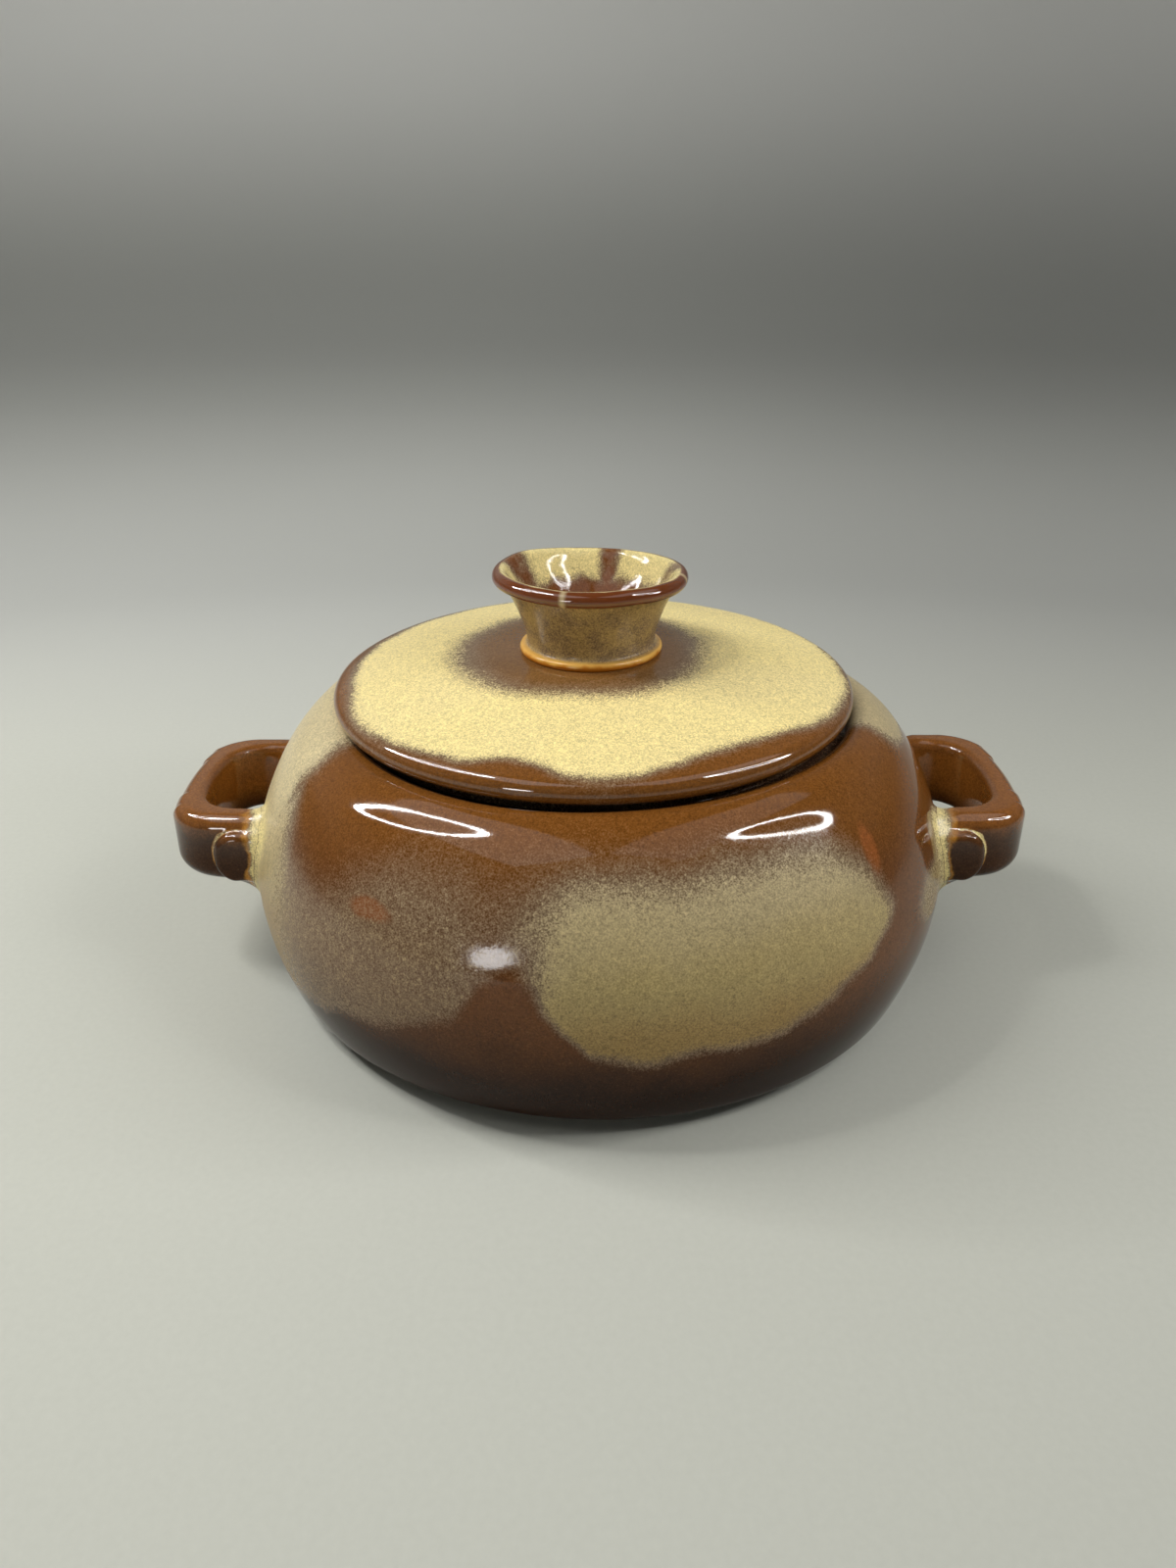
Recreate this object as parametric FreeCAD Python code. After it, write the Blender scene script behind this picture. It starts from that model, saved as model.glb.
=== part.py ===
import FreeCAD, Part
import math
import os

# Stoneware bean pot: a bulging round pot with two loop handles, and a lift-off lid with a hollow flared knob.
# Millimetres, +Z up. The origin is the centre of the foot ring's contact plane, and the handles lie along X.

V = FreeCAD.Vector
UP = V(0, 0, 1)
ORIGIN = V(0, 0, 0)

# Pot: outside
BELLY_RADIUS = 110.0        # widest ring of the pot
BELLY_HEIGHT = 37.5         # height of that ring
SIDE_ROUND = 79.6           # radius of the side's curve, from the belly down to the bottom edge
BOTTOM_EDGE_RADIUS = 4.0    # rounding between side and underside
SHOULDER_RISE = 20.8        # how long the shoulder climbs straight up from the belly
SHOULDER_REACH = 11.5       # how long the shoulder runs level before the lip
LIP_RADIUS = 81.0           # crest of the lip
LIP_HEIGHT = 86.6
LIP_ROLL = 4.0              # rounding of the lip towards the gallery

# Pot: foot
FOOT_INSET = 23.0           # from the belly in to the foot ring
FOOT_WIDTH = 9.0
FOOT_HEIGHT = 4.4
FOOT_FLARE = 1.6            # the foot widens by this much to the underside
FOOT_BEVEL = 1.0

# Pot: inside
WALL = 6.5
FLOOR = 6.5
INSIDE_CORNER = 14.0        # rounding between the floor and the wall
GALLERY_DROP = 4.4          # from the lip down to the ledge that carries the lid
LEDGE_WIDTH = 11.0
LEDGE_THICKNESS = 6.5
LEDGE_BEVEL = 1.5

# Lid
LID_INSET = 1.1             # from the lip's crest in to the lid's edge
LID_EDGE_RADIUS = 3.6       # half the thickness of the rounded edge
LID_EDGE_LIFT = 3.7         # the edge's middle lies this far above the lip
LID_RISE = 7.6              # from the edge's top up to the crown, where the knob stands
LID_WALL = 6.4
FLANGE_WIDTH = 6.0          # ring that hangs in the mouth
FLANGE_DEPTH = 8.0          # below the land
FLANGE_BEVEL = 1.2          # edges of the flange and of the land
REST_CLEARANCE = 0.3        # glazed land above the ledge
FLANGE_CLEARANCE = 2.3      # flange inside the mouth
GALLERY_CLEARANCE = 2.3     # land inside the gallery wall

# Knob
KNOB_HEIGHT = 26.4          # above the crown
KNOB_RIM_RADIUS = 29.5
KNOB_RIM_ROLL = 2.35        # radius of the rolled rim
KNOB_RIM_START = -110.0     # where the outside runs into the roll, in degrees
KNOB_RIM_END = 140.0        # where the inside leaves it
KNOB_NECK_RADIUS = 19.2
KNOB_NECK_RISE = 6.5        # how long the wall keeps its steep start at the neck
KNOB_NECK_DRAFT = 1.0       # how far it leans out in that rise
KNOB_RIM_LEAN = 4.1         # how long the wall keeps its direction into the rim
KNOB_WALL = 3.2
KNOB_FLOOR = 5.0
KNOB_FLOOR_RADIUS = 8.0     # flat middle of the cup
KNOB_BEAD_WIDTH = 2.7       # the bead at the knob's root stands out of the neck by this much
KNOB_BEAD_ROLL = 1.3

# Handles
HANDLE_RISE = 21.1          # from the belly's height up to the handle's top
HANDLE_HEIGHT = 22.9
FINGER_GAP = 15.0           # from the belly out to the inside of the grip
GRIP_WIDTH = 10.0
ARM_GAP = 44.0              # between the two arms
ARM_WIDTH = 9.5
HANDLE_BOW = 4.0            # the grip bows out by this much between its corners
HANDLE_CORNER = 17.0
OPENING_CORNER = 12.0
TOP_ROUND = 4.6
BOTTOM_ROUND = 6.5
OPENING_ROUND = 2.8
STEP_DEPTH = 0.6            # each of the two shallow steps of the outer face
STEP_INSETS = (11.0, 18.5)  # from the arm's outer face in to each step, along the grip
ROOT_SWEEP = 18.0           # radius under the arms where they run into the pot
ROOT_SINK = 1.0             # that sweep ends this deep inside the pot's side
LUG_HEIGHT = 17.0
LUG_FLAT = 2.4              # straight part of the lug's end, between its two corners
LUG_DEPTH = 3.2             # stands out of the arm's face
LUG_ROUND = 2.4
LUG_RAISE = 1.9             # above the arm's lower edge
LUG_SETBACK = 17.3          # from the grip's outer face in to the lug's end

# Worked out
SIDE_CENTRE = BELLY_RADIUS - SIDE_ROUND
FOOT_RADIUS = BELLY_RADIUS - FOOT_INSET
SEAT_HEIGHT = LIP_HEIGHT - GALLERY_DROP
GALLERY_RADIUS = LIP_RADIUS - LIP_ROLL
MOUTH_RADIUS = GALLERY_RADIUS - LEDGE_WIDTH
LID_RADIUS = LIP_RADIUS - LID_INSET
LID_SEAT = SEAT_HEIGHT + REST_CLEARANCE
LID_EDGE_HEIGHT = LIP_HEIGHT + LID_EDGE_LIFT
LID_EDGE_TOP = LID_EDGE_HEIGHT + LID_EDGE_RADIUS
LID_UNDERSIDE = LID_EDGE_HEIGHT - LID_EDGE_RADIUS
LID_EDGE_CENTRE = LID_RADIUS - LID_EDGE_RADIUS
CROWN_HEIGHT = LID_EDGE_TOP + LID_RISE
FLANGE_RADIUS = MOUTH_RADIUS - FLANGE_CLEARANCE
LAND_RADIUS = GALLERY_RADIUS - GALLERY_CLEARANCE
KNOB_BEAD_RADIUS = KNOB_NECK_RADIUS + KNOB_BEAD_WIDTH
OPENING_REACH = BELLY_RADIUS + FINGER_GAP
HANDLE_REACH = OPENING_REACH + GRIP_WIDTH
HANDLE_TOP = BELLY_HEIGHT + HANDLE_RISE
HANDLE_BOTTOM = HANDLE_TOP - HANDLE_HEIGHT
OPENING_HALF_LENGTH = ARM_GAP / 2
HANDLE_HALF_LENGTH = OPENING_HALF_LENGTH + ARM_WIDTH
LUG_REACH = HANDLE_REACH - LUG_SETBACK
LUG_CORNER = (LUG_HEIGHT - LUG_FLAT) / 2
ROOT_RADIUS = BELLY_RADIUS - 3 * WALL  # handles are drawn from here and trimmed to the pot's outside


def at(radius, height):
    """A point of a profile in the XZ plane."""
    return V(radius, 0, height)


def line(start, end):
    return Part.LineSegment(start, end).toShape()


def arc(start, middle, end):
    return Part.Arc(start, middle, end).toShape()


def curve(*poles):
    """A Bezier curve through its first and last pole."""
    bezier = Part.BezierCurve()
    bezier.setPoles(list(poles))
    return bezier.toShape()


def on_circle(centre, radius, angle):
    """A point of a circle in the XZ plane, by its angle in degrees."""
    turn = math.radians(angle)
    return centre + V(radius * math.cos(turn), 0, radius * math.sin(turn))


def corner_arc(centre, radius, start_angle, end_angle):
    """An arc of a profile in the XZ plane, by its centre and two angles in degrees."""
    middle = (start_angle + end_angle) / 2
    angles = (start_angle, middle, end_angle)
    return arc(*[on_circle(centre, radius, angle) for angle in angles])


def closed_face(edges):
    """A flat face inside a closed chain of edges."""
    return Part.Face(Part.Wire(Part.sortEdges(edges)[0]))


def revolve(edges):
    """A solid of revolution about Z from the edges of a closed profile in the XZ plane."""
    return closed_face(edges).revolve(ORIGIN, UP, 360)


def is_along(edge, direction):
    """Whether an edge is straight and parallel to a direction."""
    ends = [vertex.Point for vertex in edge.Vertexes]
    straight = isinstance(edge.Curve, Part.Line)
    return straight and (ends[-1] - ends[0]).cross(direction).Length < 0.001


def side_and_corner(radius, corner, floor):
    """Two arcs that run up from a floor: a rounded corner, and the side's curve from it to the belly's height."""
    reach = radius - corner
    turn = math.degrees(math.asin((BELLY_HEIGHT - floor - corner) / reach))
    middle = at(SIDE_CENTRE, BELLY_HEIGHT)
    return [
        corner_arc(on_circle(middle, reach, -turn), corner, -90, -turn),
        corner_arc(middle, radius, -turn, 0),
    ]


def first_point(edges):
    """The lowest and innermost end of a chain that starts on a floor."""
    return min((vertex.Point for edge in edges for vertex in edge.Vertexes), key=lambda point: (point.z, point.x))


def outer_wall():
    """Edges of the pot's outside, from the underside up over the belly to the lip's crest."""
    belly = at(BELLY_RADIUS, BELLY_HEIGHT)
    lip = at(LIP_RADIUS, LIP_HEIGHT)
    shoulder = curve(belly, belly + V(0, 0, SHOULDER_RISE), lip + V(SHOULDER_REACH, 0, 0), lip)
    return side_and_corner(SIDE_ROUND, BOTTOM_EDGE_RADIUS, FOOT_HEIGHT) + [shoulder]


def foot_ring():
    """Edges of the underside, from the axis out to the rounded bottom edge."""
    inner = FOOT_RADIUS - FOOT_WIDTH
    start = at(0, FOOT_HEIGHT)
    inner_top = at(inner - FOOT_FLARE, FOOT_HEIGHT)
    inner_foot = at(inner, 0)
    outer_foot = at(FOOT_RADIUS, 0)
    outer_top = at(FOOT_RADIUS + FOOT_FLARE, FOOT_HEIGHT)
    points = [start, inner_top, inner_foot, outer_foot, outer_top, first_point(outer_wall())]
    return [line(a, b) for a, b in zip(points, points[1:])]


def pot_outside():
    """The pot as a full solid, with no hollow."""
    closing = [line(at(LIP_RADIUS, LIP_HEIGHT), at(0, LIP_HEIGHT)), line(at(0, LIP_HEIGHT), at(0, FOOT_HEIGHT))]
    return revolve(foot_ring() + outer_wall() + closing)


def pot_hollow():
    """The space inside the pot, from the floor up to the underside of the ledge."""
    floor = FOOT_HEIGHT + FLOOR
    ceiling = SEAT_HEIGHT - LEDGE_THICKNESS
    belly = at(BELLY_RADIUS - WALL, BELLY_HEIGHT)
    side = side_and_corner(SIDE_ROUND - WALL, INSIDE_CORNER, floor)
    top = at(MOUTH_RADIUS, ceiling)
    reach = V(SHOULDER_REACH + LIP_RADIUS - MOUTH_RADIUS, 0, 0)
    edges = side + [
        curve(belly, belly + V(0, 0, SHOULDER_RISE), top + reach, top),
        line(top, at(0, ceiling)),
        line(at(0, ceiling), at(0, floor)),
        line(at(0, floor), first_point(side)),
    ]
    return revolve(edges)


def mouth_and_gallery():
    """The stepped opening in which the lid sits."""
    top = LIP_HEIGHT
    mouth = Part.makeCylinder(MOUTH_RADIUS, top, at(0, FOOT_HEIGHT + FLOOR))
    roll = at(LIP_RADIUS, top - LIP_ROLL)
    edges = [
        line(at(0, SEAT_HEIGHT), at(GALLERY_RADIUS, SEAT_HEIGHT)),
        line(at(GALLERY_RADIUS, SEAT_HEIGHT), at(GALLERY_RADIUS, roll.z)),
        corner_arc(roll, LIP_ROLL, 180, 90),
        line(at(LIP_RADIUS, top), at(LIP_RADIUS, top + LIP_ROLL)),
        line(at(LIP_RADIUS, top + LIP_ROLL), at(0, top + LIP_ROLL)),
        line(at(0, top + LIP_ROLL), at(0, SEAT_HEIGHT)),
    ]
    return mouth.fuse(revolve(edges))


def circle_edges(shape, radius, height):
    """The full circles of a shape about Z that have a radius and a height."""
    found = []
    for edge in shape.Edges:
        if edge.Degenerated or not isinstance(edge.Curve, Part.Circle):
            continue
        if abs(edge.Curve.Radius - radius) < 0.01 and abs(edge.Curve.Center.z - height) < 0.01:
            found.append(edge)
    return found


def make_pot_body():
    pot = pot_outside().cut(pot_hollow()).cut(mouth_and_gallery()).removeSplitter()
    pot = pot.makeChamfer(LEDGE_BEVEL, circle_edges(pot, MOUTH_RADIUS, SEAT_HEIGHT))
    foot_edges = circle_edges(pot, FOOT_RADIUS, 0) + circle_edges(pot, FOOT_RADIUS - FOOT_WIDTH, 0)
    return pot.makeChamfer(FOOT_BEVEL, foot_edges)


def lid_dome():
    """Centre height and radius of the lid's top: it meets the knob's seat and is tangent to the edge."""
    rise = CROWN_HEIGHT - LID_EDGE_HEIGHT
    edge = LID_EDGE_RADIUS
    seat = KNOB_BEAD_RADIUS
    known = seat ** 2 + edge ** 2 - LID_EDGE_CENTRE ** 2 - rise ** 2
    a = rise ** 2 / edge ** 2 - 1
    b = rise * known / edge ** 2
    c = known ** 2 / (4 * edge ** 2) - seat ** 2
    drop = (-b + math.sqrt(b ** 2 - 4 * a * c)) / (2 * a)
    return CROWN_HEIGHT - drop, math.hypot(seat, drop)


def make_lid():
    """Domed disc with a rounded edge, a land that rests on the ledge and a flange that hangs in the mouth."""
    centre_height, radius = lid_dome()
    inner_radius = radius - LID_WALL

    def on_sphere(sphere_radius, distance):
        return at(distance, centre_height + math.sqrt(sphere_radius ** 2 - distance ** 2))

    flange_foot = LID_SEAT - FLANGE_DEPTH
    flange_inner = FLANGE_RADIUS - FLANGE_WIDTH
    edge_centre = at(LID_EDGE_CENTRE, LID_EDGE_HEIGHT)
    slope = math.degrees(math.asin(LID_EDGE_CENTRE / (radius - LID_EDGE_RADIUS)))
    edge_top = LID_EDGE_CENTRE * radius / (radius - LID_EDGE_RADIUS)
    seat = at(KNOB_BEAD_RADIUS, CROWN_HEIGHT)
    middle = (KNOB_BEAD_RADIUS + edge_top) / 2
    ceiling = on_sphere(inner_radius, flange_inner)
    edges = [
        line(at(0, CROWN_HEIGHT), seat),
        arc(seat, on_sphere(radius, middle), on_sphere(radius, edge_top)),
        corner_arc(edge_centre, LID_EDGE_RADIUS, 90 - slope, -90),
        line(at(LID_EDGE_CENTRE, LID_UNDERSIDE), at(LAND_RADIUS, LID_UNDERSIDE)),
        line(at(LAND_RADIUS, LID_UNDERSIDE), at(LAND_RADIUS, LID_SEAT)),
        line(at(LAND_RADIUS, LID_SEAT), at(FLANGE_RADIUS, LID_SEAT)),
        line(at(FLANGE_RADIUS, LID_SEAT), at(FLANGE_RADIUS, flange_foot)),
        line(at(FLANGE_RADIUS, flange_foot), at(flange_inner, flange_foot)),
        line(at(flange_inner, flange_foot), ceiling),
        arc(ceiling, on_sphere(inner_radius, flange_inner / 2), on_sphere(inner_radius, 0)),
        line(on_sphere(inner_radius, 0), at(0, CROWN_HEIGHT)),
    ]
    lid = revolve(edges)
    lower_edges = circle_edges(lid, LAND_RADIUS, LID_SEAT)
    for radius in (FLANGE_RADIUS, flange_inner):
        lower_edges += circle_edges(lid, radius, flange_foot)
    return lid.makeChamfer(FLANGE_BEVEL, lower_edges)


def make_lid_knob():
    """Flared cup with a bead at its root and a rim that rolls outwards."""
    foot = CROWN_HEIGHT
    floor = foot + KNOB_FLOOR
    bead = at(KNOB_BEAD_RADIUS - KNOB_BEAD_ROLL, foot + KNOB_BEAD_ROLL)
    bead_top = at(bead.x, foot + 2 * KNOB_BEAD_ROLL)
    neck = at(KNOB_NECK_RADIUS, bead_top.z)
    rim = at(KNOB_RIM_RADIUS - KNOB_RIM_ROLL, foot + KNOB_HEIGHT - KNOB_RIM_ROLL)
    outer_end = on_circle(rim, KNOB_RIM_ROLL, KNOB_RIM_START)
    inner_start = on_circle(rim, KNOB_RIM_ROLL, KNOB_RIM_END)
    rise = V(KNOB_NECK_DRAFT, 0, KNOB_NECK_RISE)
    into_cup = on_circle(ORIGIN, KNOB_RIM_LEAN, KNOB_RIM_END + 90)
    floor_edge = at(KNOB_FLOOR_RADIUS, floor)
    edges = [
        line(at(0, foot), at(bead.x, foot)),
        corner_arc(bead, KNOB_BEAD_ROLL, -90, 90),
        line(bead_top, neck),
        curve(neck, neck + rise, outer_end + into_cup, outer_end),
        corner_arc(rim, KNOB_RIM_ROLL, KNOB_RIM_START, KNOB_RIM_END),
        curve(inner_start, inner_start + into_cup, at(KNOB_NECK_RADIUS - KNOB_WALL, floor), floor_edge),
        line(floor_edge, at(0, floor)),
        line(at(0, floor), at(0, foot)),
    ]
    return revolve(edges)


def bowed_prism(reach, half_length, corner, bottom, top):
    """An upright block from inside the pot's wall to a bowed end with two rounded corners."""
    end = reach - HANDLE_BOW
    edges = [
        line(V(ROOT_RADIUS, half_length, bottom), V(ROOT_RADIUS, -half_length, bottom)),
        line(V(ROOT_RADIUS, -half_length, bottom), V(end, -half_length, bottom)),
        arc(V(end, -half_length, bottom), V(reach, 0, bottom), V(end, half_length, bottom)),
        line(V(end, half_length, bottom), V(ROOT_RADIUS, half_length, bottom)),
    ]
    block = closed_face(edges).extrude(UP * (top - bottom))
    corners = [edge for edge in block.Edges if is_along(edge, UP) and edge.Vertexes[0].X > end - 1]
    return block.makeFillet(corner, corners)


def handle_side():
    """The handle seen from the front: a level underside that sweeps down the pot's wall at its root."""
    low = HANDLE_BOTTOM - ROOT_SWEEP
    root = SIDE_CENTRE + math.sqrt(SIDE_ROUND ** 2 - (BELLY_HEIGHT - low) ** 2) - ROOT_SINK
    wall = math.sqrt(root ** 2 - HANDLE_HALF_LENGTH ** 2)
    sweep_centre = at(wall + ROOT_SWEEP, low)
    edges = [
        line(at(ROOT_RADIUS, low), at(wall, low)),
        corner_arc(sweep_centre, ROOT_SWEEP, 180, 90),
        line(at(sweep_centre.x, HANDLE_BOTTOM), at(HANDLE_REACH, HANDLE_BOTTOM)),
        line(at(HANDLE_REACH, HANDLE_BOTTOM), at(HANDLE_REACH, HANDLE_TOP)),
        line(at(HANDLE_REACH, HANDLE_TOP), at(ROOT_RADIUS, HANDLE_TOP)),
        line(at(ROOT_RADIUS, HANDLE_TOP), at(ROOT_RADIUS, low)),
    ]
    width = V(0, HANDLE_HALF_LENGTH, 0)
    return closed_face(edges).translated(-width).extrude(width * 2)


def outline_edges(shape, height, half_length):
    """Edges that follow the outline of a handle or its opening, with their upper end at a height."""
    found = []
    for edge in shape.Edges:
        ends = [vertex.Point for vertex in edge.Vertexes]
        at_height = abs(max(end.z for end in ends) - height) < 0.01
        within = all(abs(end.y) < half_length + 0.01 for end in ends)
        if at_height and within and not is_along(edge, UP) and not is_along(edge, V(0, 1, 0)):
            found.append(edge)
    return found


def handle_blank():
    """The handle with its outer edges rounded, before its opening is cut."""
    low = HANDLE_BOTTOM - ROOT_SWEEP
    plan = bowed_prism(HANDLE_REACH, HANDLE_HALF_LENGTH, HANDLE_CORNER, low, HANDLE_TOP)
    blank = plan.common(handle_side()).removeSplitter()
    blank = blank.makeFillet(TOP_ROUND, outline_edges(blank, HANDLE_TOP, HANDLE_HALF_LENGTH))
    return blank.makeFillet(BOTTOM_ROUND, outline_edges(blank, HANDLE_BOTTOM, HANDLE_HALF_LENGTH))


def with_opening(blank):
    """Cuts the opening for the fingers and rounds its edges."""
    low = HANDLE_BOTTOM - ROOT_SWEEP
    opening = bowed_prism(OPENING_REACH, OPENING_HALF_LENGTH, OPENING_CORNER, low, HANDLE_TOP)
    loop = blank.cut(opening)
    for height in (HANDLE_TOP, HANDLE_BOTTOM):
        loop = loop.makeFillet(OPENING_ROUND, outline_edges(loop, height, OPENING_HALF_LENGTH))
    return loop


def with_steps(loop, blank):
    """Lets the outer face of the grip step in towards its middle."""
    for count, step_inset in enumerate(STEP_INSETS, 1):
        half_length = HANDLE_HALF_LENGTH - step_inset
        corner = V(OPENING_REACH, -half_length, HANDLE_BOTTOM)
        slab = Part.makeBox(GRIP_WIDTH, 2 * half_length, HANDLE_HEIGHT, corner)
        inset = blank.translated(V(-count * STEP_DEPTH, 0, 0))
        loop = loop.cut(slab.cut(inset))
    return loop.removeSplitter()


def make_lug():
    """Pad on the front face of an arm, from inside the pot's wall out to a rounded end."""
    base = V(ROOT_RADIUS, -HANDLE_HALF_LENGTH - LUG_DEPTH, HANDLE_BOTTOM + LUG_RAISE)
    lug = Part.makeBox(LUG_REACH - ROOT_RADIUS, LUG_DEPTH + ARM_WIDTH / 2, LUG_HEIGHT, base)
    ends = [edge for edge in lug.Edges if max(vertex.X for vertex in edge.Vertexes) > base.x + 1]
    lug = lug.makeFillet(LUG_CORNER, [edge for edge in ends if is_along(edge, V(0, 1, 0))])
    outer = [edge for edge in lug.Edges if max(vertex.X for vertex in edge.Vertexes) > base.x + 1]
    return lug.makeFillet(LUG_ROUND, [edge for edge in outer if max(v.Y for v in edge.Vertexes) < base.y + 0.01])


def make_right_handle():
    blank = handle_blank()
    lug = make_lug()
    handle = with_steps(with_opening(blank), blank)
    handle = handle.fuse(lug).fuse(lug.mirror(ORIGIN, V(0, 1, 0)))
    return handle.cut(pot_outside()).removeSplitter()


def make_left_handle():
    return make_right_handle().mirror(ORIGIN, V(1, 0, 0))


PARTS = {
    "pot_body": make_pot_body,
    "left_handle": make_left_handle,
    "right_handle": make_right_handle,
    "lid": make_lid,
    "lid_knob": make_lid_knob,
}

os.makedirs("parts", exist_ok=True)
for node, make in PARTS.items():
    make().exportStep("parts/" + node + ".step")
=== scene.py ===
"""Stoneware bean pot with a lift-off lid: its looks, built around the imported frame.

Lengths in the shape code are millimetres in the row frame: +Z up, -Y towards the front and +X towards the
right handle. Angles round the pot are degrees from the front towards the right handle.
"""

import math

import bpy
import numpy as np
from mathutils import Matrix, Vector, noise
from mathutils.bvhtree import BVHTree


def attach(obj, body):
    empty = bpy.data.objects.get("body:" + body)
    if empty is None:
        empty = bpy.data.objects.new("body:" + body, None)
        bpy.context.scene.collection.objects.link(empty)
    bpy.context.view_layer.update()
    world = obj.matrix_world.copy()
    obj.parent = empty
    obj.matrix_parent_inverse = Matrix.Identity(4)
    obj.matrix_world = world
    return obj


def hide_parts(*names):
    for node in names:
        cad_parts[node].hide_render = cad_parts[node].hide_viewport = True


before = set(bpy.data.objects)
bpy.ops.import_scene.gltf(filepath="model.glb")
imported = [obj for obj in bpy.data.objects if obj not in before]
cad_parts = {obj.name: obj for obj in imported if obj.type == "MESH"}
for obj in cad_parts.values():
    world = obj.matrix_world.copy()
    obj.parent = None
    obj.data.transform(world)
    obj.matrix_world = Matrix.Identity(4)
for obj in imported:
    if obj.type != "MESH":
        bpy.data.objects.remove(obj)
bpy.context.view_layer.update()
MM = 0.001

# ---------------------------------------------------------------- camera

CAMERA_PLACE = (-3.45, -345.5, 225.1)
CAMERA_PITCH = 26.25  # degrees below the horizon
CAMERA_LENS = 27.045


def make_camera():
    data = bpy.data.cameras.new("camera")
    data.lens = CAMERA_LENS
    data.sensor_width = 36.0
    data.clip_start = 0.01
    camera = bpy.data.objects.new("camera", data)
    camera.location = Vector(CAMERA_PLACE) * MM
    camera.rotation_euler = (math.radians(90 - CAMERA_PITCH), 0, 0)
    bpy.context.scene.collection.objects.link(camera)
    bpy.context.scene.camera = camera


# ---------------------------------------------------------------- profiles


def on_circle(centre, radius, angle):
    turn = math.radians(angle)
    return np.array([centre[0] + radius * math.cos(turn), centre[1] + radius * math.sin(turn)])


def arc(centre, radius, start, end, count):
    """Points of a circular arc of a profile, by two angles in degrees."""
    return np.array([on_circle(centre, radius, angle) for angle in np.linspace(start, end, count)])


def bezier(p0, p1, p2, p3, count):
    t = np.linspace(0, 1, count)[:, None]
    p0, p1, p2, p3 = (np.array(p, float) for p in (p0, p1, p2, p3))
    return (1 - t) ** 3 * p0 + 3 * (1 - t) ** 2 * t * p1 + 3 * (1 - t) * t**2 * p2 + t**3 * p3


def rounded(*corners):
    """A polyline through (radius, height, rounding) corners, each rounded by a small arc."""
    points = [np.array(corner[:2], float) for corner in corners]
    path = [points[0]]
    for i in range(1, len(points) - 1):
        size = corners[i][2]
        before, here, after = points[i - 1 : i + 2]
        into = (here - before) / np.linalg.norm(here - before)
        out = (after - here) / np.linalg.norm(after - here)
        turn = math.acos(np.clip(into @ out, -1, 1))
        if size <= 0 or turn < 0.01:
            path.append(here)
            continue
        start = here - into * size * math.tan(turn / 2)
        side = 1 if into[0] * out[1] - into[1] * out[0] > 0 else -1
        centre = start + side * size * np.array([-into[1], into[0]])
        first = math.degrees(math.atan2(*(start - centre)[::-1]))
        path += list(arc(centre, size, first, first + side * math.degrees(turn), 9))
    path.append(points[-1])
    return np.array(path)


def joined(*paths, longest=2.0):
    """One polyline from several, with no repeated points and no long steps."""
    points = [np.array(paths[0][0], float)]
    for path in paths:
        for point in path:
            gap = np.linalg.norm(point - points[-1])
            if gap < 0.02:
                continue
            steps = max(1, math.ceil(gap / longest))
            start = points[-1]
            points += [start + (point - start) * k / steps for k in range(1, steps + 1)]
    return np.array(points)


# ---------------------------------------------------------------- meshes


def new_object(name, vertices, faces):
    mesh = bpy.data.meshes.new(name)
    mesh.from_pydata([tuple(v * MM) for v in np.asarray(vertices, float)], [], faces)
    mesh.validate()
    mesh.shade_smooth()
    obj = bpy.data.objects.new(name, mesh)
    bpy.context.scene.collection.objects.link(obj)
    return obj


def marked(*pieces):
    """One profile from (path, first mark, last mark) pieces, with the marks of its points."""
    paths = [path if i == 0 else path[1:] for i, (path, _, _) in enumerate(pieces)]
    marks = [np.linspace(first, last, len(path)) for path, (_, first, last) in zip(paths, pieces)]
    return np.vstack(paths), np.concatenate(marks)


def store(mesh, name, values):
    """Keeps one value for each vertex, for a material to read."""
    attribute = mesh.attributes.new(name, "FLOAT", "POINT")
    attribute.data.foreach_set("value", values.astype(np.float32))


def lathe(name, profile, marks, segments, bend):
    """A closed turned form. Its profile runs from the axis round to the axis, and bend moves its points."""
    rings, ends = profile[1:-1], (profile[0], profile[-1])
    turns = np.linspace(0, 2 * math.pi, segments, endpoint=False)
    grid = [np.stack([r * np.sin(turns), -r * np.cos(turns), np.full(segments, z)], 1) for r, z in rings]
    vertices = np.vstack(grid + [[(0, 0, z)] for _, z in ends])
    faces = []
    for i in range(len(rings) - 1):
        low, high = i * segments, (i + 1) * segments
        for j in range(segments):
            k = (j + 1) % segments
            faces.append((low + j, low + k, high + k, high + j))
    last = (len(rings) - 1) * segments
    first_end, last_end = len(rings) * segments, len(rings) * segments + 1
    for j in range(segments):
        k = (j + 1) % segments
        faces.append((first_end, k, j))
        faces.append((last_end, last + j, last + k))
    obj = new_object(name, bend(vertices), faces)
    store(obj.data, "mark", np.r_[np.repeat(marks[1:-1], segments), marks[0], marks[-1]])
    return obj


def wobble(points, size, scale, seed):
    """Smooth noise, one value per point, of a given size and wavelength."""
    shift = Vector((seed * 17.3, seed * 5.1, seed * 9.7))
    return np.array([size * noise.noise(Vector(p) / scale + shift) for p in points])


def smoothstep(x, low, high):
    t = np.clip((x - low) / (high - low), 0, 1)
    return t * t * (3 - 2 * t)


def angle_round(points):
    """Angle of each point round the axis, in radians from the front towards the right."""
    return np.arctan2(points[:, 0], -points[:, 1])


# ---------------------------------------------------------------- shapes

TURN_STEPS, KNOB_STEPS = 400, 320  # points round the pot and the lid, and round the knob

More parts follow.
